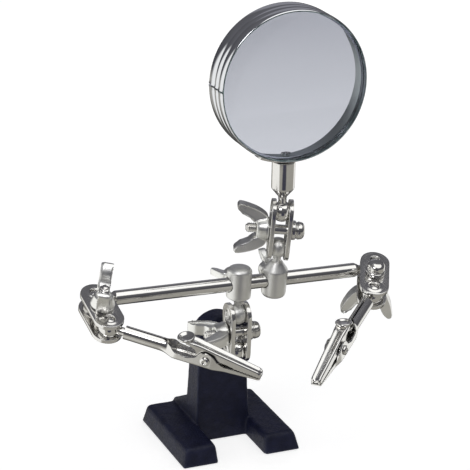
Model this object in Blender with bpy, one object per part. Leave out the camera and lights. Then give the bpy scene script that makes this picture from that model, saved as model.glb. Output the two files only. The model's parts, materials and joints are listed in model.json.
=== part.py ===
"""Helping hands clamp: cast base, ball-jointed arm, cross bar, magnifier and two clips.

Lengths below are in millimetres and angles in degrees. Meshes are scaled to metres
when they are built. World frame: +Z up, +X along the cross bar, the front faces -Y,
and the origin is under the middle of the base.
"""

from math import acos, cos, degrees, pi, radians, sin, tan

import bmesh
import bpy
from mathutils import Matrix, Vector

MM = 0.001
GAP = 0.3

# cast base
BASE_WIDTH = 50.0
BASE_LENGTH = 50.0
FOOT_WIDTH = 15.5
FOOT_HEIGHT = 7.6
FOOT_DRAFT = 2.1
FOOT_BEVEL = 1.7
BELOW = 1.0
WEB_FRONT = -3.8
WEB_BACK = 24.0
WEB_HALF_WIDTH = 11.6
COLUMN_HALF_WIDTH = 9.8
COLUMN_TOP = 52.3
COLUMN_BACK = 9.6
STUD_HEIGHT = 43.7
STUD_REACH = 17.5
STUD_SHANK_RADIUS = 2.5
STUD_SHANK_DEPTH = 6.0

# double ball joints, four alike
BALL_RADIUS = 4.0
BALL_SPACING = 15.6
NECK_RADIUS = 1.6
PLATE_INNER = 2.4
PLATE_THICKNESS = 1.7
PLATE_HALF_WIDTH = 5.75
PLATE_OVERHANG = 4.7
PLATE_SEAT_RADIUS = 3.55
BOLT_RADIUS = 1.9
BOLT_HEAD_RADIUS = 3.6
BOLT_HEAD_HEIGHT = 4.6
BOLT_TIP = 13.2
NUT_HUB_RADIUS = 4.6
NUT_HUB_HEIGHT = 4.6
WING_THICKNESS = 3.8
WING_REACH = 10.2
WING_HEIGHT = 12.2

# arm, cross bar and its two slider blocks
LOWER_LEAN = 5.8
BLOCK_LEAN = 3.5
BAR_TILT = 1.6
BAR_RADIUS = 2.8
BAR_OVER_BALL = 12.9
BAR_LEFT_END = 50.3
BAR_RIGHT_END = 48.5
BAR_NECK_LENGTH = 8.2
BLOCK_RADIUS = 4.8
LENS_BLOCK_PLACE = 14.7
LENS_BLOCK_LEAN = 9.0
LENS_BALL_OVER_BAR = 14.0
UPPER_LEAN = 10.0
LOWER_TURN = 3.0
UPPER_TURN = 20.0
SCREW_RADIUS = 1.9
SCREW_WING_REACH = 7.6
SCREW_WING_HEIGHT = 7.6
SCREW_WING_THICKNESS = 2.2

# magnifier
LENS_OVER_BALL = 51.0
RING_RADIUS = 29.2
RING_FRONT = -8.6
RING_GROOVES = (-4.2, -0.6)
RING_BACK = 5.0
RING_SEAT_RADIUS = 28.6
RING_BORE_RADIUS = 27.4
GLASS_RADIUS = 28.3
GLASS_FRONT = -8.4
GLASS_BACK = -4.6
GLASS_FRONT_RISE = 1.6
GLASS_BACK_RISE = 3.0
SLEEVE_RADIUS = 4.5
SADDLE_HALF_ANGLE = 20.5
SADDLE_DEPTH = 6.0
SADDLE_THICKNESS = 1.2

# side joints and clips: yaw turns from the front (-Y) towards +X, dip is below level
LEFT_LINK_YAW = 3.5
LEFT_LINK_DIP = 19.8
RIGHT_LINK_YAW = -26.0
RIGHT_LINK_DIP = 20.0
RIGHT_LINK_ROLL = 9.0
LEFT_CLIP_YAW = 53.5
LEFT_CLIP_DIP = 12.2
LEFT_CLIP_ROLL = -14.0
RIGHT_CLIP_YAW = -46.0
RIGHT_CLIP_DIP = 13.7
TUBE_START = 6.4
TUBE_END = 19.9
TUBE_RADIUS = 2.6
TUBE_BORE = 2.05
PIN_RADIUS = 1.75
RIVET_PLACE = 38.4
RIVET_HEIGHT = 0.8
RIVET_RADIUS = 1.1
JAW_WALL = 0.7
PAD_PLACE = 29.3
PAD_HEIGHT = 6.6
PAD_RADIUS = 3.3
CLIP_TIP = 59.5
CHANNEL_START = 26.3
JAW_HALF_WIDTHS = ((0.0, 2.8), (18.0, 2.8), (26.3, 3.4), (41.4, 3.4), (46.5, 2.5), (60.5, 1.9))
MOVING_HALF_WIDTHS = ((33.7, 2.6), (36.0, 2.3), (44.6, 2.3), (59.5, 1.95))
JAW_FLOOR = ((0.0, -2.8), (18.0, -2.8), (26.3, -2.95), (41.4, -2.75), (46.5, -2.5),
             (58.9, -1.75), (59.5, -1.5))
JAW_FLOOR_THICKNESS = ((0.0, 0.8), (41.4, 0.7), (58.3, 0.6), (59.5, 0.35))

NICKEL = ("nickel_plated_steel", (0.72, 0.71, 0.69), 0.22, 1.0)
CHROME = ("chrome", (0.80, 0.81, 0.83), 0.10, 1.0)
BRASS = ("nickel_plated_brass", (0.70, 0.69, 0.66), 0.28, 1.0)
ENAMEL = ("blue_black_enamel", (0.020, 0.024, 0.040), 0.55, 0.0)
GLASS = ("lens_glass", (0.72, 0.78, 0.80), 0.03, 0.0)
SPRING_STEEL = ("spring_steel", (0.45, 0.45, 0.46), 0.35, 1.0)


def clear_scene():
    for old in list(bpy.data.objects):
        bpy.data.objects.remove(old)


def material_for(part_name, finish):
    """Each part gets its own material, named after the part and its finish."""
    finish_name, colour, roughness, metallic = finish
    material = bpy.data.materials.new(f"{part_name}_{finish_name}")
    material.use_nodes = True
    shader = material.node_tree.nodes["Principled BSDF"]
    shader.inputs["Base Color"].default_value = (*colour, 1.0)
    shader.inputs["Roughness"].default_value = roughness
    shader.inputs["Metallic"].default_value = metallic
    return material


def make_object(name, shape, frame):
    """Turns a bmesh in millimetres into an object in metres, placed by its frame."""
    bmesh.ops.recalc_face_normals(shape, faces=shape.faces)
    bmesh.ops.scale(shape, vec=(MM, MM, MM), verts=shape.verts)
    mesh = bpy.data.meshes.new(name)
    shape.to_mesh(mesh)
    shape.free()
    made = bpy.data.objects.new(name, mesh)
    made.matrix_world = frame
    bpy.context.scene.collection.objects.link(made)
    return made


def add_part(name, shape, frame, finish):
    """A finished piece: smooth shaded, with a material of its own."""
    part = make_object(name, shape, frame)
    part.data.materials.append(material_for(name, finish))
    for face in part.data.polygons:
        face.use_smooth = True
    part.data.set_sharp_from_angle(angle=radians(35))
    return part


def add_helper(name, shape, frame):
    """A hidden object that only takes part in Booleans."""
    helper = make_object(name, shape, frame)
    helper.hide_render = True
    helper.display_type = "WIRE"
    return helper


def combine(part, helper, operation):
    """Adds an exact Boolean of the part with a hidden helper object."""
    modifier = part.modifiers.new(f"{operation.lower()}_{helper.name}", "BOOLEAN")
    modifier.operation = operation
    modifier.solver = "EXACT"
    modifier.object = helper


def frame_of(origin, x_axis, z_axis):
    """A frame with its Z along z_axis and its X as near x_axis as can be."""
    z = Vector(z_axis).normalized()
    y = z.cross(Vector(x_axis)).normalized()
    x = y.cross(z)
    turn = Matrix((x, y, z)).transposed().to_4x4()
    return Matrix.Translation(Vector(origin) * MM) @ turn


def along(frame, x=0.0, y=0.0, z=0.0):
    """The point at x, y, z of the frame, in world millimetres."""
    return frame @ Vector((x * MM, y * MM, z * MM)) / MM


def leaning(lean):
    """A direction square to the cross bar, leaning forward from upright."""
    direction = Vector((tan(radians(BAR_TILT)), -tan(radians(lean)), 1.0))
    return direction.normalized()


def aimed(yaw, dip):
    """A direction at this yaw from the front, pointing down by dip."""
    level = cos(radians(dip))
    return Vector((sin(radians(yaw)) * level, -cos(radians(yaw)) * level, -sin(radians(dip))))


def upward(yaw, dip, roll=0.0):
    """The direction square to aimed(yaw, dip) that points up, rolled to its side."""
    rise = sin(radians(dip))
    up = Vector((sin(radians(yaw)) * rise, -cos(radians(yaw)) * rise, cos(radians(dip))))
    side = Vector((cos(radians(yaw)), sin(radians(yaw)), 0.0))
    return up * cos(radians(roll)) + side * sin(radians(roll))


def lathe(profile, segments, closed=False, phase=0.0):
    """Turns a list of (radius, height) about Z. A closed profile makes a ring."""
    shape = bmesh.new()
    rings = []
    for radius, height in profile:
        if radius == 0:
            rings.append([shape.verts.new((0, 0, height))] * segments)
            continue
        ring = []
        for i in range(segments):
            angle = 2 * pi * (i + phase) / segments
            ring.append(shape.verts.new((radius * cos(angle), radius * sin(angle), height)))
        rings.append(ring)
    pairs = list(zip(rings, rings[1:]))
    if closed:
        pairs.append((rings[-1], rings[0]))
    for low, high in pairs:
        for i in range(segments):
            j = (i + 1) % segments
            corners = []
            for corner in (low[i], low[j], high[j], high[i]):
                if corner not in corners:
                    corners.append(corner)
            if len(corners) > 2:
                shape.faces.new(corners)
    return shape


def prism(outline, low, high):
    """A flat outline in X and Y, carried along Z from low to high."""
    shape = bmesh.new()
    bottom = [shape.verts.new((x, y, low)) for x, y in outline]
    top = [shape.verts.new((x, y, high)) for x, y in outline]
    shape.faces.new(bottom)
    shape.faces.new(top)
    for i in range(len(outline)):
        j = (i + 1) % len(outline)
        shape.faces.new((bottom[i], bottom[j], top[j], top[i]))
    return shape


def side_prism(outline, half_width):
    """A side outline in X and Z, spread to both sides of Y by half_width(x, z)."""
    shape = bmesh.new()
    near = [shape.verts.new((x, -half_width(x, z), z)) for x, z in outline]
    far = [shape.verts.new((x, half_width(x, z), z)) for x, z in outline]
    shape.faces.new(near)
    shape.faces.new(far)
    for i in range(len(outline)):
        j = (i + 1) % len(outline)
        shape.faces.new((near[i], near[j], far[j], far[i]))
    bmesh.ops.triangulate(shape, faces=shape.faces)
    return shape


def arc_points(centre, radius, start, end, steps):
    """Points on an arc in a plane, from the start angle to the end angle."""
    points = []
    for i in range(steps + 1):
        angle = radians(start + (end - start) * i / steps)
        points.append((centre[0] + radius * cos(angle), centre[1] + radius * sin(angle)))
    return points


def ball_profile(neck_radius, steps=7):
    """Radius and height of a ball about the origin, from its bottom up to the neck."""
    top_angle = degrees(acos(neck_radius / BALL_RADIUS))
    points = [(0.0, -BALL_RADIUS)]
    for i in range(1, steps + 1):
        angle = radians(-90 + (top_angle + 90) * i / steps)
        points.append((BALL_RADIUS * cos(angle), BALL_RADIUS * sin(angle)))
    return points


def rounded_box(x_range, y_range, z_range, draft, bevel):
    """A box that narrows towards its top by the draft, with its upper edges rounded."""
    shape = bmesh.new()
    corners = []
    for height, inset in ((z_range[0], 0.0), (z_range[1], 1.0)):
        left = x_range[0] + draft[0] * inset
        right = x_range[1] - draft[1] * inset
        front = y_range[0] + draft[2] * inset
        back = y_range[1] - draft[3] * inset
        for x, y in ((left, front), (right, front), (right, back), (left, back)):
            corners.append(shape.verts.new((x, y, height)))
    shape.faces.new(corners[:4])
    shape.faces.new(corners[4:])
    for i in range(4):
        j = (i + 1) % 4
        shape.faces.new((corners[i], corners[j], corners[j + 4], corners[i + 4]))
    if bevel:
        edges = [e for e in shape.edges if max(v.co.z for v in e.verts) > z_range[0]]
        bmesh.ops.bevel(
            shape, geom=edges, offset=bevel, segments=2, profile=0.5, affect="EDGES")
    return shape


def column_shape():
    """The upright post: drafted sides, flat front and back, and a half-round top."""
    shape = bmesh.new()
    arch_centre = COLUMN_TOP - COLUMN_HALF_WIDTH
    outline = [(-WEB_HALF_WIDTH - 0.3, -1.8 * BELOW), (WEB_HALF_WIDTH + 0.3, -1.8 * BELOW)]
    outline += arc_points((0.0, arch_centre), COLUMN_HALF_WIDTH, 4, 176, 12)
    front = []
    back = []
    for x, z in outline:
        lift = z / COLUMN_TOP
        front.append(shape.verts.new((x, WEB_FRONT + 0.9 * lift, z)))
        back.append(shape.verts.new((x, COLUMN_BACK - 3.4 * lift, z)))
    shape.faces.new(front)
    shape.faces.new(back)
    for i in range(len(outline)):
        j = (i + 1) % len(outline)
        shape.faces.new((front[i], front[j], back[j], back[i]))
    rim = []
    for edge in shape.edges:
        same_face = (edge.verts[0] in front) == (edge.verts[1] in front)
        if same_face and max(vert.co.z for vert in edge.verts) > 1:
            rim.append(edge)
    bmesh.ops.bevel(shape, geom=rim, offset=0.8, segments=1, affect="EDGES")
    return shape


def web_shape():
    """The block between the feet, which slopes down behind the column."""
    outline = [
        (WEB_FRONT + 0.6, -1.4 * BELOW),
        (WEB_BACK + 0.7, -1.4 * BELOW),
        (WEB_BACK, 7.0),
        (WEB_BACK - 1.8, 8.9),
        (COLUMN_BACK - 1.0, 15.6),
        (WEB_FRONT + 2.0, 15.6),
    ]
    shape = bmesh.new()
    left = []
    right = []
    for y, z in outline:
        half_width = WEB_HALF_WIDTH - 0.04 * z
        left.append(shape.verts.new((-half_width, y, z)))
        right.append(shape.verts.new((half_width, y, z)))
    shape.faces.new(left)
    shape.faces.new(right)
    for i in range(len(outline)):
        j = (i + 1) % len(outline)
        shape.faces.new((left[i], left[j], right[j], right[i]))
    bmesh.ops.triangulate(shape, faces=shape.faces)
    return shape


def build_base():
    """Cast base: two feet, the web between them, the column and the stud's hole."""
    world = Matrix.Identity(4)
    half = BASE_WIDTH / 2
    inner = half - FOOT_WIDTH
    length = BASE_LENGTH / 2
    left_foot = rounded_box(
        (-half, -inner), (-length, length), (-BELOW, FOOT_HEIGHT),
        (FOOT_DRAFT, 0.8, FOOT_DRAFT, FOOT_DRAFT), FOOT_BEVEL)
    base = add_part("base_casting", left_foot, world, ENAMEL)
    right_foot = rounded_box(
        (inner, half), (-length, length), (-BELOW, FOOT_HEIGHT),
        (0.8, FOOT_DRAFT, FOOT_DRAFT, FOOT_DRAFT), FOOT_BEVEL)
    combine(base, add_helper("right_foot_block", right_foot, world), "UNION")
    combine(base, add_helper("web_block", web_shape(), world), "UNION")
    combine(base, add_helper("column_block", column_shape(), world), "UNION")
    ground = rounded_box((-40, 40), (-40, 40), (-8.0, 0.0), (0, 0, 0, 0), 0)
    combine(base, add_helper("ground_cut", ground, world), "DIFFERENCE")
    hole_frame = frame_of((0, -STUD_REACH, STUD_HEIGHT), (1, 0, 0), (0, 1, 0))
    hole = lathe(
        [(0, 5.0), (STUD_SHANK_RADIUS + GAP, 5.0),
         (STUD_SHANK_RADIUS + GAP, STUD_REACH + WEB_FRONT + STUD_SHANK_DEPTH + 1.5),
         (0, STUD_REACH + WEB_FRONT + STUD_SHANK_DEPTH + 1.5)], 20)
    combine(base, add_helper("stud_hole", hole, hole_frame), "DIFFERENCE")


def build_base_stud():
    """The fixed ball stud: ball, neck, round collar and a shank in the column."""
    frame = frame_of((0, -STUD_REACH, STUD_HEIGHT), (1, 0, 0), (0, 1, 0))
    face = STUD_REACH + WEB_FRONT + 0.9 * STUD_HEIGHT / COLUMN_TOP - GAP
    profile = ball_profile(NECK_RADIUS)
    profile += [
        (NECK_RADIUS, 5.6), (3.6, 7.4), (4.2, 8.0), (4.2, face - 0.5), (3.8, face),
        (STUD_SHANK_RADIUS, face), (STUD_SHANK_RADIUS, face + STUD_SHANK_DEPTH),
        (0, face + STUD_SHANK_DEPTH)]
    add_part("base_ball_stud", lathe(profile, 16), frame, NICKEL)


def link_frame(origin, normal, direction):
    """Z runs from the first ball to the second, X is the bolt's line towards the nut."""
    return frame_of(origin, normal, direction)


def plate_shape():
    """One clamp plate: a flat with round ends, in the link frame's Y and Z."""
    low = PLATE_HALF_WIDTH - PLATE_OVERHANG
    outline = arc_points((0.0, BALL_SPACING - low), PLATE_HALF_WIDTH, 0, 180, 9)
    outline += arc_points((0.0, low), PLATE_HALF_WIDTH, 180, 360, 9)
    return prism(outline, PLATE_INNER, PLATE_INNER + PLATE_THICKNESS)


def build_plate(name, frame, side):
    """A clamp plate on the nut side (1) or the head side (-1) of the link."""
    spin = Matrix(((0, 0, side, 0), (side, 0, 0, 0), (0, 1, 0, 0), (0, 0, 0, 1)))
    placed = frame @ spin
    plate = add_part(name, plate_shape(), placed, NICKEL)
    outer = PLATE_INNER + PLATE_THICKNESS + 1
    holes = (
        ("first_seat", 0.0, PLATE_SEAT_RADIUS),
        ("bolt_hole", BALL_SPACING / 2, BOLT_RADIUS + GAP),
        ("second_seat", BALL_SPACING, PLATE_SEAT_RADIUS),
    )
    for hole_name, place, radius in holes:
        cylinder = lathe([(0, 1), (radius, 1), (radius, outer), (0, outer)], 16)
        bmesh.ops.translate(cylinder, vec=(0, place, 0), verts=cylinder.verts)
        combine(plate, add_helper(f"{name}_{hole_name}", cylinder, placed), "DIFFERENCE")


def build_bolt(name, frame):
    """The clamp bolt: a tall rounded head, a plain shank and a chamfered tip."""
    seat = PLATE_INNER + PLATE_THICKNESS + GAP
    head_top = seat + BOLT_HEAD_HEIGHT
    profile = [
        (0, -head_top), (BOLT_HEAD_RADIUS - 1.6, -head_top + 0.15),
        (BOLT_HEAD_RADIUS - 0.5, -head_top + 0.8), (BOLT_HEAD_RADIUS, -head_top + 1.8),
        (BOLT_HEAD_RADIUS, -seat), (BOLT_RADIUS, -seat),
        (BOLT_RADIUS, BOLT_TIP - 0.6), (BOLT_RADIUS - 0.6, BOLT_TIP), (0, BOLT_TIP)]
    middle = along(frame, z=BALL_SPACING / 2)
    x_axis = frame.to_3x3() @ Vector((1, 0, 0))
    z_axis = frame.to_3x3() @ Vector((0, 0, 1))
    add_part(name, lathe(profile, 14), frame_of(middle, z_axis, x_axis), NICKEL)


def wing_outline(root, reach, base, height):
    """One wing in the plane of radius and height, from its root to its round tip."""
    tip = 2.3
    outline = [(root, base + 0.4), (root + 2.2, base)]
    outline += arc_points((reach - tip, base + height - tip), tip, -40, 150, 7)
    outline += [(root + 2.0, base + 0.42 * height), (root, base + 0.40 * height)]
    return outline


def wing_shape(root, reach, base, height, thickness, side):
    """A wing as a solid in X (outwards) and Z (along the thread)."""
    outline = [(x * side, z) for x, z in wing_outline(root, reach, base, height)]
    return side_prism(outline, lambda x, z: thickness / 2)


def build_wing_nut(name, frame, turn):
    """Wing nut on the bolt: a bored hub with two wings that flare outwards."""
    middle = along(frame, z=BALL_SPACING / 2)
    x_axis = frame.to_3x3() @ Vector((1, 0, 0))
    z_axis = frame.to_3x3() @ Vector((0, 0, 1))
    placed = frame_of(middle, z_axis, x_axis) @ Matrix.Rotation(radians(turn), 4, "Z")
    seat = PLATE_INNER + PLATE_THICKNESS + GAP
    bore = BOLT_RADIUS + GAP
    hub = lathe([
        (bore, seat), (NUT_HUB_RADIUS, seat), (NUT_HUB_RADIUS, seat + 1.2),
        (NUT_HUB_RADIUS - 0.9, seat + NUT_HUB_HEIGHT), (bore, seat + NUT_HUB_HEIGHT)],
        16, closed=True)
    nut = add_part(name, hub, placed, BRASS)
    for side in (-1, 1):
        wing = wing_shape(
            bore + 0.5, WING_REACH, seat + 0.3, WING_HEIGHT, WING_THICKNESS, side)
        combine(nut, add_helper(f"{name}_wing_{side + 1}", wing, placed), "UNION")


def build_link(prefix, frame, nut_turn):
    """All the pieces of one double ball joint."""
    build_plate(f"{prefix}_plate_nut_side", frame, 1)
    build_plate(f"{prefix}_plate_head_side", frame, -1)
    build_bolt(f"{prefix}_bolt", frame)
    build_wing_nut(f"{prefix}_wing_nut", frame, nut_turn)


def cross_hole(radius, low, high, segments, axis, height):
    """A cylinder square to the block's axis: along X for the bar, along Y for the screw."""
    shape = lathe([(0, low), (radius, low), (radius, high), (0, high)], segments, phase=0.35)
    turn = pi / 2 if axis == "Y" else -pi / 2
    matrix = Matrix.Rotation(turn, 3, axis)
    bmesh.ops.rotate(shape, cent=(0, 0, 0), matrix=matrix, verts=shape.verts)
    bmesh.ops.translate(shape, vec=(0, 0, height), verts=shape.verts)
    return shape


def build_block(name, frame, profile, bar_height):
    """A turned slider block with a cross bore for the bar and a hole for its screw."""
    block = add_part(name, lathe(profile, 20), frame, NICKEL)
    bore = cross_hole(BAR_RADIUS + GAP, -9, 9, 16, "Y", bar_height)
    combine(block, add_helper(f"{name}_bar_bore", bore, frame), "DIFFERENCE")
    hole = cross_hole(SCREW_RADIUS + GAP, 0.5, 9, 12, "X", bar_height)
    combine(block, add_helper(f"{name}_screw_hole", hole, frame), "DIFFERENCE")


def build_thumb_screw(name, frame, bar_height, turn):
    """Wing screw at the back of a slider block, pressing on the bar."""
    y_axis = frame.to_3x3() @ Vector((0, 1, 0))
    x_axis = frame.to_3x3() @ Vector((1, 0, 0))
    placed = frame_of(along(frame, z=bar_height), x_axis, y_axis)
    placed = placed @ Matrix.Rotation(radians(turn), 4, "Z")
    start = BAR_RADIUS + GAP
    hub = BLOCK_RADIUS + 0.9
    screw = add_part(name, lathe([
        (0, start), (SCREW_RADIUS, start), (SCREW_RADIUS, hub), (3.2, hub + 0.6),
        (3.2, hub + 4.0), (2.4, hub + 4.8), (0, hub + 4.8)], 14), placed, BRASS)
    for side in (-1, 1):
        wing = wing_shape(
            1.2, SCREW_WING_REACH, hub + 0.6, SCREW_WING_HEIGHT, SCREW_WING_THICKNESS, side)
        combine(screw, add_helper(f"{name}_wing_{side + 1}", wing, placed), "UNION")


def build_cross_bar(bar_frame):
    """The round bar, necked down to a ball at each end. Its frame's Z is the bar line."""
    profile = []
    left_centre = -BAR_LEFT_END - BAR_NECK_LENGTH
    right_centre = BAR_RIGHT_END + BAR_NECK_LENGTH
    for radius, height in ball_profile(NECK_RADIUS):
        profile.append((radius, left_centre + height))
    profile += [
        (NECK_RADIUS, -BAR_LEFT_END - 1.9), (BAR_RADIUS - 0.3, -BAR_LEFT_END - 0.3),
        (BAR_RADIUS, -BAR_LEFT_END + 0.2), (BAR_RADIUS, BAR_RIGHT_END - 0.2),
        (BAR_RADIUS - 0.3, BAR_RIGHT_END + 0.3), (NECK_RADIUS, BAR_RIGHT_END + 1.9)]
    for radius, height in reversed(ball_profile(NECK_RADIUS)):
        profile.append((radius, right_centre - height))
    add_part("cross_bar", lathe(profile, 16), bar_frame, NICKEL)


def build_magnifier(frame):
    """Ball stem, saddle, screw, chromed ring and the lens. Frame Z is the stem."""
    ring_bottom = LENS_OVER_BALL - RING_RADIUS - GAP
    sleeve_top = ring_bottom - SADDLE_THICKNESS - GAP
    profile = ball_profile(NECK_RADIUS) + [
        (NECK_RADIUS, 6.0), (2.6, 7.0), (SLEEVE_RADIUS, 8.6), (SLEEVE_RADIUS, sleeve_top - 0.4),
        (SLEEVE_RADIUS - 0.4, sleeve_top), (1.8, sleeve_top), (1.8, sleeve_top - 5.0),
        (0, sleeve_top - 5.0)]
    add_part("magnifier_stem", lathe(profile, 18), frame, NICKEL)
    lens_frame = frame_of(along(frame, z=LENS_OVER_BALL), frame.to_3x3() @ Vector((1, 0, 0)),
                          frame.to_3x3() @ Vector((0, 1, 0)))
    build_saddle(lens_frame)
    build_ring(lens_frame)
    build_lens(lens_frame)
    build_saddle_screw(frame, sleeve_top)


def down_cylinder(radius, low, high, segments):
    """A cylinder that points down the lens frame's stem side, between two distances."""
    shape = lathe([(0, low), (radius, low), (radius, high), (0, high)], segments)
    turn = Matrix.Rotation(-pi / 2, 3, "X")
    bmesh.ops.rotate(shape, cent=(0, 0, 0), matrix=turn, verts=shape.verts)
    return shape


def build_saddle(lens_frame):
    """Curved strip that carries the ring on the stem."""
    inner = RING_RADIUS + GAP
    outer = inner + SADDLE_THICKNESS
    start = 90 - SADDLE_HALF_ANGLE
    end = 90 + SADDLE_HALF_ANGLE
    outline = arc_points((0, 0), outer, start, end, 10)
    outline += arc_points((0, 0), inner, end, start, 10)
    shape = prism(outline, -SADDLE_DEPTH / 2, SADDLE_DEPTH / 2)
    saddle = add_part("magnifier_saddle", shape, lens_frame, NICKEL)
    hole = down_cylinder(1.6, inner - 2, outer + 2, 14)
    combine(saddle, add_helper("saddle_hole", hole, lens_frame), "DIFFERENCE")


def build_ring(lens_frame):
    """Rolled rim with three rounded bands outside and a seat for the glass inside."""
    seat = GLASS_BACK + GAP
    edges = (RING_FRONT, *RING_GROOVES, RING_BACK)
    profile = []
    for low, high in zip(edges, edges[1:]):
        profile += [
            (RING_RADIUS - 0.3, low + 0.05), (RING_RADIUS, low + 1.0),
            (RING_RADIUS, high - 1.0), (RING_RADIUS - 0.3, high - 0.05)]
    profile += [
        (RING_BORE_RADIUS, RING_BACK - 0.05), (RING_BORE_RADIUS, seat),
        (RING_SEAT_RADIUS, seat), (RING_SEAT_RADIUS, RING_FRONT + 0.05)]
    ring = add_part("lens_ring", lathe(profile, 44, closed=True), lens_frame, CHROME)
    hole = down_cylinder(1.6, RING_BORE_RADIUS - 3, RING_RADIUS + 2, 14)
    combine(ring, add_helper("ring_hole", hole, lens_frame), "DIFFERENCE")


def build_lens(lens_frame):
    """Biconvex glass, flush with the front of the ring."""
    profile = []
    for i in range(4):
        share = i / 4
        rise = GLASS_FRONT_RISE * (1 - share**2)
        profile.append((GLASS_RADIUS * share, GLASS_FRONT - rise))
    profile += [
        (GLASS_RADIUS - 0.4, GLASS_FRONT), (GLASS_RADIUS, GLASS_FRONT + 0.4),
        (GLASS_RADIUS, GLASS_BACK)]
    edge = RING_BORE_RADIUS - GAP - 0.3
    for i in range(3, -1, -1):
        share = i / 3
        rise = GLASS_BACK_RISE * (1 - share**2)
        profile.append((edge * share, GLASS_BACK + rise))
    add_part("magnifier_lens", lathe(profile, 40), lens_frame, GLASS)


def build_saddle_screw(frame, sleeve_top):
    """Short screw from inside the ring, through the saddle and into the stem."""
    head_low = LENS_OVER_BALL - RING_BORE_RADIUS + GAP + 0.25
    profile = [
        (0, sleeve_top - 4.0), (1.3, sleeve_top - 4.0), (1.3, head_low), (1.9, head_low),
        (1.7, head_low + 0.8), (0, head_low + 1.1)]
    add_part("magnifier_saddle_screw", lathe(profile, 14), frame, NICKEL)


def clip_frame(origin, yaw, dip, roll=0.0):
    """X runs along the clip to its tip and Z points to the thumb pad's side."""
    return frame_of(origin, aimed(yaw, dip), upward(yaw, dip, roll))


def moving_half_width(x, z):
    """Half the outer width of the moving jaw along the clip."""
    return between(MOVING_HALF_WIDTHS, x)


def tooth_row(start, end, count, depth, up):
    """Zigzag points along a bite line, between two (x, z) points."""
    points = []
    for i in range(count):
        for part, offset in ((0.0, 0.0), (0.5, depth if up else -depth)):
            share = (i + part) / count
            x = start[0] + (end[0] - start[0]) * share
            z = start[1] + (end[1] - start[1]) * share + offset
            points.append((x, z))
    points.append(end)
    return points


def sheet_loft(sections):
    """Joins sections of bent sheet end to end. Each runs out on one face and back on the other."""
    shape = bmesh.new()
    rings = [[shape.verts.new(point) for point in section] for section in sections]
    count = len(rings[0])
    for low, high in zip(rings, rings[1:]):
        for i in range(count):
            j = (i + 1) % count
            shape.faces.new((low[i], low[j], high[j], high[i]))
    for ring in (rings[0], rings[-1]):
        for i in range(count // 2 - 1):
            shape.faces.new((ring[i], ring[i + 1], ring[count - 2 - i], ring[count - 1 - i]))
    bmesh.ops.triangulate(shape, faces=shape.faces)
    return shape


def between(table, x):
    """The value at x of a line through the (x, value) pairs of the table."""
    if x <= table[0][0]:
        return table[0][1]
    for (x0, v0), (x1, v1) in zip(table, table[1:]):
        if x <= x1:
            return v0 + (v1 - v0) * (x - x0) / (x1 - x0)
    return table[-1][1]


def tube_line(radius):
    """Points (y, z) round a tube that is open along a narrow slit at its top."""
    slit = 8.0
    return arc_points((0.0, 0.0), radius, 90 + slit, 450 - slit, 10)


def channel_line(half_width, low, high, corner):
    """Points (y, z) down one side of a channel, across its floor and up the other."""
    corner = min(corner, 0.45 * (high - low))
    side_low = low + corner
    left = [(-half_width, high), (-half_width, (high + side_low) / 2), (-half_width, side_low)]
    left += [(-half_width + 0.3 * corner, low + 0.3 * corner), (-half_width + corner, low)]
    return left + [(0.0, low)] + [(-y, z) for y, z in reversed(left)]


def jaw_section(x, top):
    """Section of the rolled sheet at x: a slit tube that opens into a channel."""
    opening = min(max((x - TUBE_END) / (CHANNEL_START - TUBE_END), 0.0), 1.0)
    half_width = between(JAW_HALF_WIDTHS, x)
    low = between(JAW_FLOOR, x)
    floor = between(JAW_FLOOR_THICKNESS, x)
    outer = channel_line(half_width, low, top, 0.9)
    inner = channel_line(half_width - JAW_WALL, low + floor, top, 0.4)
    points = []
    for tube, channel in ((tube_line(TUBE_RADIUS), outer), (tube_line(TUBE_BORE), inner)):
        line = []
        for (y0, z0), (y1, z1) in zip(tube, channel):
            line.append((x, y0 + (y1 - y0) * opening, z0 + (z1 - z0) * opening))
        points += line if not points else reversed(line)
    return points


def build_fixed_jaw(name, frame):
    """Lower jaw: a rolled tube at the back that opens into a channel with ears."""
    ear = arc_points((RIVET_PLACE, RIVET_HEIGHT), 3.4, 150, 20, 8)
    bite = tooth_row((47.9, 0.15), (CLIP_TIP - 0.5, -0.75), 8, 0.22, False)
    top = [(TUBE_START, 1.0), (TUBE_END, 1.0), (21.9, 1.0), (23.9, 1.0), (CHANNEL_START, 0.9)]
    top += [(29.0, 0.5), (33.2, 1.0)] + ear + [(44.2, 0.6), (46.5, 0.3)] + bite
    top += [(CLIP_TIP, -1.0)]
    jaw = add_part(name, sheet_loft([jaw_section(x, z) for x, z in top]), frame, NICKEL)
    combine(jaw, add_helper(f"{name}_rivet_hole", rivet_hole(), frame), "DIFFERENCE")


def rivet_hole():
    radius = RIVET_RADIUS + GAP
    shape = lathe([(0, -6), (radius, -6), (radius, 6), (0, 6)], 12, phase=0.37)
    turn = Matrix.Rotation(pi / 2, 3, "X")
    bmesh.ops.rotate(shape, cent=(0, 0, 0), matrix=turn, verts=shape.verts)
    bmesh.ops.translate(shape, vec=(RIVET_PLACE, 0, RIVET_HEIGHT), verts=shape.verts)
    return shape


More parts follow.
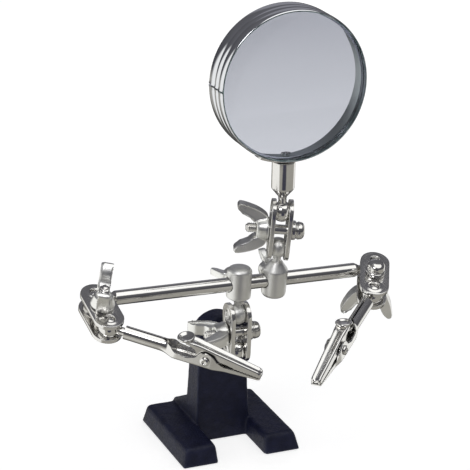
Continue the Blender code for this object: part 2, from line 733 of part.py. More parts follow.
def build_moving_jaw(name, frame):
    """Upper jaw: an upturned channel with a lever that ends in a round thumb pad."""
    hub = arc_points((RIVET_PLACE, RIVET_HEIGHT), 2.4, 200, 330, 7)
    bite = tooth_row((47.9, 0.5), (CLIP_TIP - 0.5, -0.4), 8, 0.22, True)
    outline = [
        (CLIP_TIP, 0.2), (CLIP_TIP, 1.2), (CLIP_TIP - 0.8, 1.8), (44.6, 4.3), (33.6, 6.2),
        (32.2, 6.4), (32.2, 5.6), (34.4, 4.6)]
    outline += hub + [(42.3, 1.7), (44.6, 2.2), (47.4, 1.6)] + bite
    jaw = add_part(name, side_prism(outline, moving_half_width), frame, NICKEL)
    trough_outline = [
        (30.9, -5.0), (30.9, 4.9), (33.6, 5.4), (44.6, 3.5), (CLIP_TIP - 1.2, 1.1),
        (CLIP_TIP - 1.2, -5.0), (44.6, -5.0)]
    trough = side_prism(trough_outline, lambda x, z: moving_half_width(x, z) - JAW_WALL)
    combine(jaw, add_helper(f"{name}_trough", trough, frame), "DIFFERENCE")
    pad = lathe([
        (0, 0.0), (PAD_RADIUS - 0.6, 0.0), (PAD_RADIUS, 0.5), (PAD_RADIUS, 1.0),
        (PAD_RADIUS - 0.7, 1.0), (0, 0.6)], 16)
    bmesh.ops.translate(pad, vec=(PAD_PLACE, 0, PAD_HEIGHT - 0.8), verts=pad.verts)
    combine(jaw, add_helper(f"{name}_pad", pad, frame), "UNION")
    combine(jaw, add_helper(f"{name}_rivet_hole", rivet_hole(), frame), "DIFFERENCE")
    place_origin(jaw, along(frame, RIVET_PLACE, 0, RIVET_HEIGHT))


def place_origin(part, point):
    """Moves a part's origin to a world point without moving its mesh."""
    world = part.matrix_world.copy()
    moved = world.copy()
    moved.translation = Vector(point) * MM
    part.data.transform(moved.inverted() @ world)
    part.matrix_world = moved


def build_rivet(name, frame):
    """Pivot rivet across both jaws, with a low head on each side."""
    ear = 3.4 + GAP
    profile = [
        (0, -ear - 0.7), (1.4, -ear - 0.6), (1.9, -ear), (RIVET_RADIUS, -ear),
        (RIVET_RADIUS, ear), (1.9, ear), (1.4, ear + 0.6), (0, ear + 0.7)]
    pivot = along(frame, RIVET_PLACE, 0, RIVET_HEIGHT)
    y_axis = frame.to_3x3() @ Vector((0, 1, 0))
    x_axis = frame.to_3x3() @ Vector((1, 0, 0))
    add_part(name, lathe(profile, 14), frame_of(pivot, x_axis, y_axis), NICKEL)


def spring_path():
    """Centre line of the torsion spring in the clip's X, Y and Z."""
    coil = 1.8
    half = 1.05
    turns = 2.5
    steps = 22
    points = [(RIVET_PLACE - 9.0, -half, RIVET_HEIGHT - 2.2)]
    for i in range(steps + 1):
        angle = 2 * pi * turns * i / steps - pi / 2
        y = -half + 2 * half * i / steps
        points.append((RIVET_PLACE + coil * cos(angle), y, RIVET_HEIGHT + coil * sin(angle)))
    points.append((RIVET_PLACE - 5.0, half, RIVET_HEIGHT + 2.2))
    return points


def build_spring(name, frame):
    """Torsion spring wire, swept round the rivet."""
    radius = 0.25
    sides = 5
    points = [Vector(point) for point in spring_path()]
    shape = bmesh.new()
    rings = []
    for i, point in enumerate(points):
        ahead = points[min(i + 1, len(points) - 1)]
        behind = points[max(i - 1, 0)]
        tangent = (ahead - behind).normalized()
        across = tangent.cross(Vector((0, 1, 0))).normalized()
        over = across.cross(tangent)
        ring = []
        for k in range(sides):
            angle = 2 * pi * k / sides
            offset = across * (radius * cos(angle)) + over * (radius * sin(angle))
            ring.append(shape.verts.new(point + offset))
        rings.append(ring)
    for low, high in zip(rings, rings[1:]):
        for k in range(sides):
            n = (k + 1) % sides
            shape.faces.new((low[k], low[n], high[n], high[k]))
    shape.faces.new(rings[0])
    shape.faces.new(rings[-1])
    add_part(name, shape, frame, SPRING_STEEL)


def build_clip_stem(name, frame):
    """Ball stem whose pin sits inside the clip's tube."""
    profile = ball_profile(NECK_RADIUS) + [
        (NECK_RADIUS, 6.2), (PIN_RADIUS, 6.6), (PIN_RADIUS, 17.5), (PIN_RADIUS - 0.5, 18.2),
        (0, 18.2)]
    x_axis = frame.to_3x3() @ Vector((1, 0, 0))
    z_axis = frame.to_3x3() @ Vector((0, 0, 1))
    add_part(name, lathe(profile, 16), frame_of(along(frame), z_axis, x_axis), NICKEL)


def build_clip(prefix, frame):
    """All the pieces of one clip."""
    build_clip_stem(f"{prefix}_clip_ball_stem", frame)
    build_fixed_jaw(f"{prefix}_clip_fixed_jaw", frame)
    build_moving_jaw(f"{prefix}_clip_moving_jaw", frame)
    build_rivet(f"{prefix}_clip_rivet", frame)
    build_spring(f"{prefix}_clip_spring", frame)


def main():
    clear_scene()
    bar_line = Vector((cos(radians(BAR_TILT)), 0, -sin(radians(BAR_TILT))))
    build_base()
    build_base_stud()

    stud_ball = Vector((0, -STUD_REACH, STUD_HEIGHT))
    lower_line = Vector((0, -sin(radians(LOWER_LEAN)), cos(radians(LOWER_LEAN))))
    lower_bolt = Matrix.Rotation(radians(-LOWER_TURN), 3, "Z") @ Vector((-1, 0, 0))
    build_link("lower_joint", link_frame(stud_ball, lower_bolt, lower_line), 88)

    block_ball = stud_ball + lower_line * BALL_SPACING
    block_frame = frame_of(block_ball, bar_line, leaning(BLOCK_LEAN))
    low_profile = ball_profile(NECK_RADIUS) + [
        (NECK_RADIUS, 5.4), (2.2, 5.8), (BLOCK_RADIUS, 7.6), (BLOCK_RADIUS, 19.2),
        (BLOCK_RADIUS - 0.7, 19.9), (0, 19.9)]
    build_block("bar_slider_block", block_frame, low_profile, BAR_OVER_BALL)
    build_thumb_screw("bar_slider_thumb_screw", block_frame, BAR_OVER_BALL, 178)

    bar_centre = along(block_frame, z=BAR_OVER_BALL)
    build_cross_bar(frame_of(bar_centre, (0, 0, 1), bar_line))

    lens_line = leaning(LENS_BLOCK_LEAN)
    lens_ball = bar_centre + bar_line * LENS_BLOCK_PLACE + lens_line * LENS_BALL_OVER_BAR
    lens_block_frame = frame_of(lens_ball, -bar_line, -lens_line)
    top_profile = ball_profile(NECK_RADIUS) + [
        (NECK_RADIUS, 5.5), (2.3, 6.0), (BLOCK_RADIUS, 9.4), (BLOCK_RADIUS, 19.8),
        (BLOCK_RADIUS - 0.7, 20.5), (0, 20.5)]
    build_block("lens_slider_block", lens_block_frame, top_profile, LENS_BALL_OVER_BAR)
    build_thumb_screw("lens_slider_thumb_screw", lens_block_frame, LENS_BALL_OVER_BAR, 82)

    upper_line = leaning(UPPER_LEAN)
    upper_bolt = Matrix.Rotation(radians(-UPPER_TURN), 3, "Z") @ -bar_line
    build_link("upper_joint", link_frame(lens_ball, upper_bolt, upper_line), 2)
    stem_ball = lens_ball + upper_line * BALL_SPACING
    build_magnifier(frame_of(stem_ball, bar_line, leaning(0.0)))

    left_ball = bar_centre - bar_line * (BAR_LEFT_END + BAR_NECK_LENGTH)
    left_link = link_frame(
        left_ball, upward(LEFT_LINK_YAW, LEFT_LINK_DIP), aimed(LEFT_LINK_YAW, LEFT_LINK_DIP))
    build_link("left_joint", left_link, -30)
    left_clip_ball = along(left_link, z=BALL_SPACING)
    build_clip(
        "left", clip_frame(left_clip_ball, LEFT_CLIP_YAW, LEFT_CLIP_DIP, LEFT_CLIP_ROLL))

    right_ball = bar_centre + bar_line * (BAR_RIGHT_END + BAR_NECK_LENGTH)
    right_link = link_frame(
        right_ball, -upward(RIGHT_LINK_YAW, RIGHT_LINK_DIP, RIGHT_LINK_ROLL),
        aimed(RIGHT_LINK_YAW, RIGHT_LINK_DIP))
    build_link("right_joint", right_link, 85)
    build_clip(
        "right", clip_frame(along(right_link, z=BALL_SPACING), RIGHT_CLIP_YAW, RIGHT_CLIP_DIP))


main()
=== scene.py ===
"""Looks of the helping hands clamp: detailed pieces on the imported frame, their materials,
a pale floor, studio light and the camera. Shapes are made in millimetres."""

import json
from math import acos, cos, degrees, pi, radians, sin, sqrt

import bmesh
import bpy
from mathutils import Matrix, Vector

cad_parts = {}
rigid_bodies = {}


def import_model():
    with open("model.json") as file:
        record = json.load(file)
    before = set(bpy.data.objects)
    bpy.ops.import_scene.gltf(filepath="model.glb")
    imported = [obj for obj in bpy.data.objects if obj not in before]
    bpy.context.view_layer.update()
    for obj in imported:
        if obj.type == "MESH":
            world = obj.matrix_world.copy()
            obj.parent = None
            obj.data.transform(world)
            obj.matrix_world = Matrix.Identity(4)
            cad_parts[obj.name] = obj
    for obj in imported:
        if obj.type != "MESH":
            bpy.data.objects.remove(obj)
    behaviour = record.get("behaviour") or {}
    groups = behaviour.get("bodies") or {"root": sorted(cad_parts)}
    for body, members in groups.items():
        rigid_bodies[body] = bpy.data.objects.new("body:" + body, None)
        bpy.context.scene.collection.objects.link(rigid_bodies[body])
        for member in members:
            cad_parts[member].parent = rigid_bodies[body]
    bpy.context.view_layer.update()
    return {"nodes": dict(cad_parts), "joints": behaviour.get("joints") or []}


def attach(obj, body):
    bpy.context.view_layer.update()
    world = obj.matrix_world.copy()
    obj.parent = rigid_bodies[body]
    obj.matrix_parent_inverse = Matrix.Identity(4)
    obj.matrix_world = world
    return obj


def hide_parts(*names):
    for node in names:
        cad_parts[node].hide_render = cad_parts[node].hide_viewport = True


for old in list(bpy.data.objects):
    bpy.data.objects.remove(old)
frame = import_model()
joints = {joint["name"]: joint for joint in frame["joints"]}

# sizes in millimetres, made metres by MM when a piece is added
MM = 0.001
BALL = 4.0              # radius of every ball
NECK = 1.6              # radius of the neck below a ball
SPACING = 15.6          # between the two balls of a double joint
PLATE_INNER = 2.4       # near and far faces of a clamp plate, from the joint's middle
PLATE_OUTER = 4.1
SEAT = 4.4              # where a nut or a bolt head rests on its plate
BAR_RADIUS = 2.8
BAR_OVER_LOW_BALL = 12.9
BAR_UNDER_TOP_BALL = 14.0
RING_OVER_BALL = 51.0   # the ring's centre above the top ball
RING_RADIUS = 29.2
RING_BORE = 27.4
TIP = 59.5              # a clip's tip, rivet and bite line, from the clip's ball
RIVET_X = 38.4
RIVET_Z = 0.8
BITE_START = 49.6
TOOTH_HEIGHT = 0.28


# ---------------------------------------------------------------- frames

def place(name):
    """Where a joint is, in metres."""
    return Vector(joints[name]["pos_m"])


def line(name):
    """Direction of a joint's axis."""
    return Vector(joints[name]["axis"]).normalized()


def frame_of(origin, x_axis, z_axis):
    """A frame with its Z along z_axis and its X as near x_axis as can be."""
    z = Vector(z_axis).normalized()
    y = z.cross(Vector(x_axis)).normalized()
    x = y.cross(z)
    return Matrix.Translation(origin) @ Matrix((x, y, z)).transposed().to_4x4()


def turned(degrees_about_z):
    return Matrix.Rotation(radians(degrees_about_z), 4, "Z")


# ---------------------------------------------------------------- mesh helpers

def softened(points, steps=4):
    """Rounds each corner of an open line. A point is (x, y) or (x, y, corner radius)."""
    line_out = [tuple(points[0][:2])]
    for before, here, after in zip(points, points[1:], points[2:]):
        radius = here[2] if len(here) > 2 else 0.25
        corner = Vector(here[:2])
        back = Vector(before[:2]) - corner
        ahead = Vector(after[:2]) - corner
        reach = min(radius, 0.45 * back.length, 0.45 * ahead.length)
        if reach < 0.01:
            line_out.append(tuple(corner))
            continue
        start = corner + back.normalized() * reach
        end = corner + ahead.normalized() * reach
        for i in range(steps + 1):
            t = i / steps
            point = start * (1 - t) ** 2 + corner * (2 * t * (1 - t)) + end * t ** 2
            line_out.append(tuple(point))
    line_out.append(tuple(points[-1][:2]))
    return line_out


def smooth_loop(points, steps=5):
    """A closed Catmull-Rom curve through the points."""
    loop = []
    count = len(points)
    for i in range(count):
        p0, p1, p2, p3 = (Vector(points[(i + k) % count]) for k in (-1, 0, 1, 2))
        for k in range(steps):
            t = k / steps
            value = 0.5 * (2 * p1 + (p2 - p0) * t + (2 * p0 - 5 * p1 + 4 * p2 - p3) * t ** 2
                           + (3 * p1 - p0 - 3 * p2 + p3) * t ** 3)
            loop.append(tuple(value))
    return loop


def smooth_curve(table, x):
    """A smooth value at x through the (x, value) pairs of the table."""
    if x <= table[0][0]:
        return table[0][1]
    for i in range(len(table) - 1):
        x0, v0 = table[i]
        x1, v1 = table[i + 1]
        if x <= x1:
            t = (x - x0) / (x1 - x0)
            t = t * t * (3 - 2 * t) if abs(v1 - v0) > 1e-6 else t
            return v0 + (v1 - v0) * t
    return table[-1][1]


def straight_curve(table, x):
    """A value at x on the straight lines between the (x, value) pairs of the table."""
    if x <= table[0][0]:
        return table[0][1]
    for (x0, v0), (x1, v1) in zip(table, table[1:]):
        if x <= x1:
            return v0 + (v1 - v0) * (x - x0) / (x1 - x0)
    return table[-1][1]


def arc(centre, radius, start, end, steps):
    """Points on an arc. The angles are in degrees."""
    points = []
    for i in range(steps + 1):
        angle = radians(start + (end - start) * i / steps)
        points.append((centre[0] + radius * cos(angle), centre[1] + radius * sin(angle)))
    return points


def lathe(profile, segments=64, closed=False, radius_at=None):
    """Turns (radius, height) points about Z into a bmesh."""
    shape = bmesh.new()
    rings = []
    for radius, height in profile:
        if radius < 1e-6:
            rings.append([shape.verts.new((0, 0, height))] * segments)
            continue
        ring = []
        for i in range(segments):
            angle = 2 * pi * i / segments
            r = radius_at(radius, angle, height) if radius_at else radius
            ring.append(shape.verts.new((r * cos(angle), r * sin(angle), height)))
        rings.append(ring)
    pairs = list(zip(rings, rings[1:]))
    if closed:
        pairs.append((rings[-1], rings[0]))
    for low, high in pairs:
        for i in range(segments):
            j = (i + 1) % segments
            corners = []
            for corner in (low[i], low[j], high[j], high[i]):
                if corner not in corners:
                    corners.append(corner)
            if len(corners) > 2:
                shape.faces.new(corners)
    return shape


def prism(outline, low, high):
    """An upright block over the outline, and its two end faces."""
    shape = bmesh.new()
    bottom = [shape.verts.new((x, y, low)) for x, y in outline]
    top = [shape.verts.new((x, y, high)) for x, y in outline]
    faces = [shape.faces.new(bottom), shape.faces.new(top)]
    for i in range(len(outline)):
        j = (i + 1) % len(outline)
        shape.faces.new((bottom[i], bottom[j], top[j], top[i]))
    return shape, faces


def flat_plate(outlines, low, high, bevel):
    """A flat with holes and rounded edges: the first outline is the rim, the rest are holes."""
    curve = bpy.data.curves.new("outline", "CURVE")
    curve.dimensions = "2D"
    curve.fill_mode = "BOTH"
    curve.extrude = (high - low) / 2 - bevel
    curve.bevel_depth = bevel
    curve.bevel_resolution = 3
    curve.offset = -bevel
    for outline in outlines:
        spline = curve.splines.new("POLY")
        spline.points.add(len(outline) - 1)
        for point, (x, y) in zip(spline.points, outline):
            point.co = (x, y, 0, 1)
        spline.use_cyclic_u = True
    holder = bpy.data.objects.new("outline", curve)
    bpy.context.scene.collection.objects.link(holder)
    graph = bpy.context.evaluated_depsgraph_get()
    mesh = bpy.data.meshes.new_from_object(holder.evaluated_get(graph))
    shape = bmesh.new()
    shape.from_mesh(mesh)
    bmesh.ops.remove_doubles(shape, verts=shape.verts, dist=0.0005)
    bmesh.ops.translate(shape, vec=(0, 0, (low + high) / 2), verts=shape.verts)
    bpy.data.objects.remove(holder)
    return shape


def held(shape):
    """Hangs a copy of the bmesh on an object of its own, so that modifiers can work on it."""
    bmesh.ops.recalc_face_normals(shape, faces=shape.faces)
    mesh = bpy.data.meshes.new("held")
    shape.to_mesh(mesh)
    holder = bpy.data.objects.new("held", mesh)
    bpy.context.scene.collection.objects.link(holder)
    return holder


def take_back(shape, holder):
    """Fills the bmesh with what the holder's modifiers made, and removes the holder."""
    graph = bpy.context.evaluated_depsgraph_get()
    made = bpy.data.meshes.new_from_object(holder.evaluated_get(graph))
    shape.clear()
    shape.from_mesh(made)
    bpy.data.objects.remove(holder)


def fused(shape, voxel, smoothing):
    """Melts overlapping closed shells into one cast shape with soft edges."""
    holder = held(shape)
    remesh = holder.modifiers.new("remesh", "REMESH")
    remesh.mode = "VOXEL"
    remesh.voxel_size = voxel
    smooth = holder.modifiers.new("smooth", "SMOOTH")
    smooth.factor = 0.5
    smooth.iterations = smoothing
    take_back(shape, holder)
    return shape


def bored(shape, tool):
    """Cuts the tool's closed shape out of the bmesh."""
    holder = held(shape)
    cutter = held(tool)
    cut = holder.modifiers.new("cut", "BOOLEAN")
    cut.operation = "DIFFERENCE"
    cut.solver = "EXACT"
    cut.object = cutter
    take_back(shape, holder)
    bpy.data.objects.remove(cutter)
    tool.free()
    return shape


def moved(shape, matrix):
    """Moves a bmesh and hands it back."""
    bmesh.ops.transform(shape, matrix=matrix, verts=shape.verts)
    return shape


def joined(*shapes):
    """Puts several bmeshes into the first one."""
    first = shapes[0]
    for shape in shapes[1:]:
        mesh = bpy.data.meshes.new("part")
        shape.to_mesh(mesh)
        first.from_mesh(mesh)
        shape.free()
    return first


def add_piece(name, shape, where, body, material, nodes=(), sharp=38):
    """Makes an object from a bmesh in millimetres, rides it on a body and dresses it."""
    bmesh.ops.recalc_face_normals(shape, faces=shape.faces)
    bmesh.ops.scale(shape, vec=(MM, MM, MM), verts=shape.verts)
    mesh = bpy.data.meshes.new(name)
    shape.to_mesh(mesh)
    shape.free()
    for face in mesh.polygons:
        face.use_smooth = True
    mesh.set_sharp_from_angle(angle=radians(sharp))
    piece = bpy.data.objects.new(name, mesh)
    bpy.context.scene.collection.objects.link(piece)
    piece.matrix_world = where
    mesh.materials.append(material)
    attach(piece, body)
    if nodes:
        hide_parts(*nodes)
    return piece


# ---------------------------------------------------------------- materials

def ramp_node(tree, source, stops):
    made = tree.nodes.new("ShaderNodeValToRGB")
    ramp = made.color_ramp
    while len(ramp.elements) < len(stops):
        ramp.elements.new(0.5)
    for element, (position, colour) in zip(ramp.elements, stops):
        element.position = position
        element.color = (*colour, 1)
    tree.links.new(source, made.inputs["Fac"])
    return made.outputs["Color"]


def noise_node(tree, coordinates, scale, detail=4.0, stretch=(1, 1, 1)):
    source = coordinates
    if stretch != (1, 1, 1):
        mapping = tree.nodes.new("ShaderNodeMapping")
        mapping.inputs["Scale"].default_value = stretch
        tree.links.new(coordinates, mapping.inputs["Vector"])
        source = mapping.outputs["Vector"]
    made = tree.nodes.new("ShaderNodeTexNoise")
    made.inputs["Scale"].default_value = scale
    made.inputs["Detail"].default_value = detail
    tree.links.new(source, made.inputs["Vector"])
    return made.outputs["Fac"]


def ranged(tree, source, low, high, new_low, new_high):
    made = tree.nodes.new("ShaderNodeMapRange")
    made.inputs["From Min"].default_value = low
    made.inputs["From Max"].default_value = high
    made.inputs["To Min"].default_value = new_low
    made.inputs["To Max"].default_value = new_high
    tree.links.new(source, made.inputs["Value"])
    return made.outputs["Result"]


def start_material(name):
    material = bpy.data.materials.new(name)
    material.use_nodes = True
    tree = material.node_tree
    shader = tree.nodes["Principled BSDF"]
    coordinates = tree.nodes.new("ShaderNodeTexCoord").outputs["Object"]
    return material, tree, shader, coordinates


def plated(name, light, dark, smooth_low, smooth_high, bump, stretch=(1, 1, 1), grain=900):
    """Plated metal: faint tarnish in patches, fine polishing grain, uneven gloss."""
    material, tree, shader, coordinates = start_material(name)
    shader.inputs["Metallic"].default_value = 1.0
    patches = noise_node(tree, coordinates, 120, 5)
    tint = ramp_node(tree, patches, [(0.32, dark), (0.62, light)])
    tree.links.new(tint, shader.inputs["Base Color"])
    fine = noise_node(tree, coordinates, grain, 6, stretch)
    tree.links.new(
        ranged(tree, fine, 0.3, 0.7, smooth_low, smooth_high), shader.inputs["Roughness"])
    relief = tree.nodes.new("ShaderNodeBump")
    relief.inputs["Strength"].default_value = bump
    relief.inputs["Distance"].default_value = 0.00012
    tree.links.new(fine, relief.inputs["Height"])
    tree.links.new(relief.outputs["Normal"], shader.inputs["Normal"])
    return material


def enamel_material():
    """Blue-black enamel over sand-cast iron, with a painted highlight: lighter blue along its
    edges.
    """
    material, tree, shader, coordinates = start_material("blue_black_enamel")
    sand = noise_node(tree, coordinates, 1500, 8)
    lumps = noise_node(tree, coordinates, 260, 3)
    edges = tree.nodes.new("ShaderNodeNewGeometry").outputs["Pointiness"]
    colour = ramp_node(
        tree, lumps, [(0.3, (0.005, 0.0065, 0.024)), (0.7, (0.010, 0.0125, 0.042))])
    # painted highlight: convex edges are mixed towards a lighter blue
    painted_edge_highlight = ramp_node(tree, edges, [(0.515, (0, 0, 0)), (0.575, (0.5, 0.5, 0.5))])
    mix = tree.nodes.new("ShaderNodeMix")
    mix.data_type = "RGBA"
    tree.links.new(painted_edge_highlight, mix.inputs["Factor"])
    tree.links.new(colour, mix.inputs["A"])
    mix.inputs["B"].default_value = (0.07, 0.085, 0.15, 1)
    tree.links.new(mix.outputs["Result"], shader.inputs["Base Color"])
    tree.links.new(ranged(tree, sand, 0.3, 0.7, 0.38, 0.62), shader.inputs["Roughness"])
    shader.inputs["Specular IOR Level"].default_value = 0.36
    height = tree.nodes.new("ShaderNodeMath")
    height.operation = "ADD"
    tree.links.new(sand, height.inputs[0])
    tree.links.new(lumps, height.inputs[1])
    relief = tree.nodes.new("ShaderNodeBump")
    relief.inputs["Strength"].default_value = 0.55
    relief.inputs["Distance"].default_value = 0.0004
    tree.links.new(height.outputs["Value"], relief.inputs["Height"])
    tree.links.new(relief.outputs["Normal"], shader.inputs["Normal"])
    return material


def glass_material():
    """Clear crown glass with a faint grey-violet cast, deepened by painted shade that dims the
    view through it and grows darker towards the top, and a few rub marks.
    """
    material, tree, shader, coordinates = start_material("crown_glass")
    shader.inputs["Transmission Weight"].default_value = 1.0
    shader.inputs["IOR"].default_value = 1.5
    span = tree.nodes.new("ShaderNodeSeparateXYZ")
    tree.links.new(coordinates, span.inputs["Vector"])
    # painted shade: a dark grey-violet tint, darker at low Y (the top of the lens) and lighter
    # at high Y
    tint = ramp_node(
        tree, ranged(tree, span.outputs["Y"], -0.028, 0.028, 0, 1),
        [(0.0, (0.38, 0.392, 0.44)), (1.0, (0.572, 0.59, 0.64))])
    tree.links.new(tint, shader.inputs["Base Color"])
    rub = noise_node(tree, coordinates, 420, 6, (1, 6, 1))
    tree.links.new(ranged(tree, rub, 0.4, 0.8, 0.0, 0.05), shader.inputs["Roughness"])
    return material


def edge_glass_material():
    """The ground rim of the lens, which gathers the glass's green."""
    material, tree, shader, coordinates = start_material("ground_glass_edge")
    shader.inputs["Transmission Weight"].default_value = 0.35
    shader.inputs["IOR"].default_value = 1.5
    streaks = noise_node(tree, coordinates, 260, 4, (1, 1, 0.1))
    tint = ramp_node(tree, streaks, [(0.35, (0.16, 0.27, 0.28)), (0.65, (0.55, 0.68, 0.67))])
    tree.links.new(tint, shader.inputs["Base Color"])
    tree.links.new(ranged(tree, streaks, 0.3, 0.7, 0.08, 0.2), shader.inputs["Roughness"])
    return material


def floor_material():
    """Matt floor that glows a little, so that only contact shadows show on it."""
    material, tree, shader, coordinates = start_material("pale_floor")
    mottled = noise_node(tree, coordinates, 6, 2)
    tint = ramp_node(tree, mottled, [(0.3, (0.48, 0.48, 0.48)), (0.7, (0.52, 0.52, 0.52))])
    tree.links.new(tint, shader.inputs["Base Color"])
    shader.inputs["Roughness"].default_value = 0.9
    shader.inputs["Emission Color"].default_value = (1, 1, 1, 1)
    shader.inputs["Emission Strength"].default_value = 0.75
    return material


NICKEL = plated("bright_nickel", (0.82, 0.81, 0.79), (0.76, 0.75, 0.73), 0.07, 0.13, 0.05)
SATIN = plated("satin_nickel", (0.95, 0.95, 0.93), (0.88, 0.88, 0.86), 0.40, 0.48, 0.03,
               (1, 1, 6), 1400)
SHEET = plated("stamped_nickel", (0.84, 0.83, 0.81), (0.77, 0.76, 0.74), 0.11, 0.17, 0.015,
               (5, 1, 1), 900)
CAST = plated("cast_nickel", (0.96, 0.96, 0.94), (0.88, 0.88, 0.85), 0.26, 0.36, 0.35,
              (1, 1, 1), 330)
CHROME = plated("polished_chrome", (0.80, 0.81, 0.84), (0.74, 0.75, 0.78), 0.04, 0.09, 0.03)
# painted reflection: the bore's teal tint stands for the glass's green seen in it
BORE = plated("brushed_bore_painted_reflection", (0.90, 0.97, 0.96), (0.80, 0.88, 0.88), 0.35, 0.5, 0.03)
WIRE = plated("spring_wire", (0.48, 0.48, 0.48), (0.36, 0.35, 0.34), 0.25, 0.40, 0.10)
ENAMEL = enamel_material()
GLASS = glass_material()
GLASS_EDGE = edge_glass_material()


# ---------------------------------------------------------------- turned and stamped pieces

def ball_line(steps=20):
    """Profile of a ball about the origin, from its bottom up to the neck."""
    top = degrees(acos(NECK / BALL))
    points = []
    for i in range(steps + 1):
        angle = radians(-90 + (top + 90) * i / steps)
        points.append((max(BALL * cos(angle), 0.0), BALL * sin(angle)))
    return points


def thread(radius, start, end, pitch=0.7, depth=0.32, segments=40):
    """A screw thread along Z with a chamfered, closed end."""
    def radius_at(nominal, angle, height):
        wave = abs(((height / pitch - angle / (2 * pi)) % 1.0) * 2 - 1)
        cut = depth * min(1.0, 1.35 * wave)
        chamfer = max(0.0, height - (end - 0.9))
        fade = max(0.0, start + 0.5 - height)
        return max(nominal - max(cut - fade, 0.0) - 0.9 * chamfer, 0.4)
    steps = int((end - start) / pitch * 10)
    profile = [(0.0, start)]
    profile += [(radius, start + (end - start) * i / steps) for i in range(steps + 1)]
    profile.append((0.0, end))
    return lathe(profile, segments, radius_at=radius_at)


def clamp_plate(name, where, side, body):
    """Stamped clamp plate: each ball looks out through a hole in a low raised seat."""
    low = 1.05
    outline = arc((0.0, SPACING - low), 5.75, 0, 180, 28) + arc((0.0, low), 5.75, 180, 360, 28)
    holes = []
    for y, radius in ((0.0, 3.3), (SPACING / 2, 2.2), (SPACING, 3.3)):
        holes.append(arc((0.0, y), radius, 360, 8, 44))
    plate = flat_plate([outline] + holes, PLATE_INNER, PLATE_OUTER, 0.22)
    seat = softened([
        (4.1, 4.06), (3.3, 4.13, 0.5), (2.5, 4.3, 0.4), (2.0, 4.28, 0.2), (1.8, 4.05, 0.15),
        (1.82, 3.72, 0.1)])
    for radius in (2.2, 2.6, 3.0, 3.35):
        seat.append((radius, sqrt((BALL + 0.14) ** 2 - radius ** 2)))
    seat.append((3.6, PLATE_INNER + 0.35))
    for y in (0.0, SPACING):
        ring = lathe(seat, 56, closed=True)
        bmesh.ops.translate(ring, vec=(0, y, 0), verts=ring.verts)
        plate = joined(plate, ring)
    spin = Matrix(((0, 0, side, 0), (side, 0, 0, 0), (0, 1, 0, 0), (0, 0, 0, 1)))
    add_piece(name + "_stamped", plate, where @ spin, body, SHEET, [name])


def clamp_bolt(name, where, body):
    """Clamp bolt with a tall domed head in two tiers and a real thread."""
    head = lathe(softened([
        (0, -SEAT - 5.1), (1.8, -SEAT - 5.0, 0.6), (3.2, -SEAT - 4.2, 0.8),
        (3.5, -SEAT - 2.3, 0.3), (3.15, -SEAT - 2.0, 0.2), (3.2, -SEAT - 1.6, 0.2),
        (3.75, -SEAT - 1.3, 0.3), (3.75, -SEAT, 0.3), (1.9, -SEAT, 0.1), (1.9, 5.0, 0.1),
        (0, 5.0)]), 56)
    bolt = joined(head, thread(1.95, 4.4, 13.2))
    add_piece(name + "_threaded", bolt, where, body, NICKEL, [name], sharp=50)


def petal(root, reach, base, height, thickness, rim):
    """One wing: a broad petal with a raised rim and a hollowed face on each side."""
    span = reach - root
    outline = smooth_loop([
        (root, base + 0.04 * height), (root + 0.40 * span, base + 0.05 * height),
        (root + 0.72 * span, base + 0.32 * height), (root + 0.92 * span, base + 0.66 * height),
        (reach, base + 0.91 * height), (reach - 0.07 * span, base + 0.99 * height),
        (reach - 0.24 * span, base + height), (reach - 0.52 * span, base + 0.84 * height),
        (reach - 0.74 * span, base + 0.58 * height), (root + 0.02 * span, base + 0.40 * height),
    ])
    shape, faces = prism(outline, -thickness / 2, thickness / 2)
    bmesh.ops.inset_individual(shape, faces=faces, thickness=rim, depth=0.0)
    inner = [face for face in shape.faces if len(face.verts) == len(outline)]
    bmesh.ops.inset_individual(shape, faces=inner, thickness=0.35, depth=-0.3 * thickness)
    stand = Matrix(((1, 0, 0, 0), (0, 0, -1, 0), (0, 1, 0, 0), (0, 0, 0, 1)))
    return moved(shape, stand)


def wing_pair(**sizes):
    """Two equal wings, half a turn apart."""
    return joined(petal(**sizes), moved(petal(**sizes), Matrix.Rotation(pi, 4, "Z")))


def wing_nut(name, where, turn, body):
    """Cast wing nut: conical hub, two hollowed wings and a threaded bore."""
    hub = lathe(softened([
        (2.05, SEAT), (4.5, SEAT, 0.3), (4.7, SEAT + 0.8, 0.5), (4.0, SEAT + 3.4, 0.8),
        (3.5, SEAT + 4.7, 0.5), (2.05, SEAT + 4.7), (2.05, SEAT + 2.4)])[:-1],
        56, closed=True)
    wings = wing_pair(
        root=2.5, reach=10.2, base=SEAT + 0.2, height=12.3, thickness=3.8, rim=0.85)
    nut = fused(joined(hub, wings), voxel=0.17, smoothing=5)
    add_piece(name + "_cast", nut, where @ turned(turn), body, CAST, [name], 80)


def link_pieces(prefix, origin, direction, bolt_line, turn):
    """Plates, bolt and wing nut of one double ball joint."""
    where = frame_of(origin, bolt_line, direction)
    clamp_plate(f"{prefix}_joint_plate_nut_side", where, 1, f"{prefix}_joint")
    clamp_plate(f"{prefix}_joint_plate_head_side", where, -1, f"{prefix}_joint")
    middle = where @ Vector((0, 0, SPACING / 2 * MM))
    axis_frame = frame_of(middle, direction, bolt_line)
    clamp_bolt(f"{prefix}_joint_bolt", axis_frame, f"{prefix}_joint")
    wing_nut(f"{prefix}_joint_wing_nut", axis_frame, turn, f"{prefix}_wing_nut")


